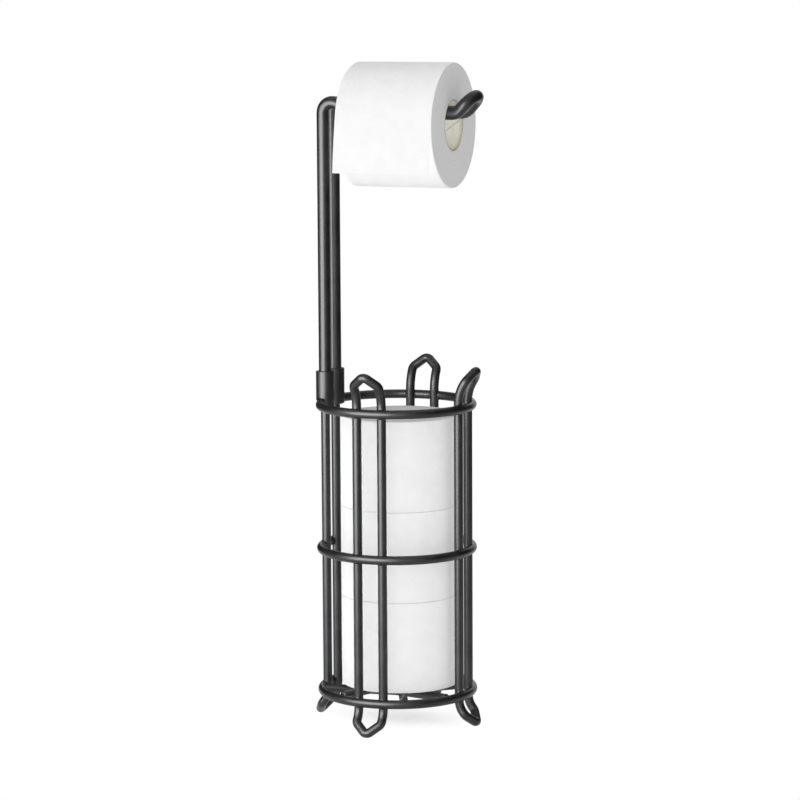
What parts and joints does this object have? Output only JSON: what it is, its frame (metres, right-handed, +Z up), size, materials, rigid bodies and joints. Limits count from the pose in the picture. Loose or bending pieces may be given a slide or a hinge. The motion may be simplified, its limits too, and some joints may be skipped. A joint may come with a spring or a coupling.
{
  "type": "freestanding toilet paper holder",
  "caption": "Freestanding toilet paper holder: a round wire basket with spare rolls, and a lift-out hairpin arm that carries the roll in use.",
  "frame": {"origin": "on the floor, on the axis of the basket's rings", "axes": "+Z up; +X from the two uprights towards the arm's free end; -Y is the front, where the loose sheet hangs"},
  "size_m": [0.1801, 0.1778, 0.6591],
  "materials": {
    "black_coat": "satin",
    "tissue": "matte",
    "core_board": "matte"
  },
  "bodies": {
    "basket": {"bottom_ring": "black_coat", "middle_ring": "black_coat", "top_ring": "black_coat", "front_leg_loop": "black_coat", "right_leg_loop": "black_coat", "back_leg_loop": "black_coat", "left_leg": "black_coat", "base_bar_front": "black_coat", "base_bar_right": "black_coat", "base_bar_back": "black_coat", "base_bar_left": "black_coat", "front_sleeve": "black_coat", "rear_sleeve": "black_coat"},
    "upright": {"upright_arm": "black_coat"},
    "hanging_roll": {"hanging_roll_paper": "tissue", "hanging_roll_core": "core_board", "loose_sheet": "tissue"},
    "spare_roll_bottom": {"spare_roll_bottom_paper": "tissue", "spare_roll_bottom_core": "core_board"},
    "spare_roll_middle": {"spare_roll_middle_paper": "tissue", "spare_roll_middle_core": "core_board"},
    "spare_roll_top": {"spare_roll_top_paper": "tissue", "spare_roll_top_core": "core_board"}
  },
  "joints": [
    {"name": "upright_lift", "type": "slide", "parent": "basket", "child": "upright", "axis": [0, 0, 1], "range_m": [0, 0.024]},
    {"name": "hanging_roll_spin", "type": "hinge", "parent": "upright", "child": "hanging_roll", "pos_m": [-0.0376, 0, 0.59759], "axis": [1, 0, 0], "continuous": true},
    {"name": "spare_bottom_lift", "type": "slide", "parent": "basket", "child": "spare_roll_bottom", "axis": [0, 0, 1], "range_m": [0, 0.015]},
    {"name": "spare_middle_lift", "type": "slide", "parent": "spare_roll_bottom", "child": "spare_roll_middle", "axis": [0, 0, 1], "range_m": [0, 0.03]},
    {"name": "spare_top_lift", "type": "slide", "parent": "spare_roll_middle", "child": "spare_roll_top", "axis": [0, 0, 1], "range_m": [0, 0.15]}
  ]
}
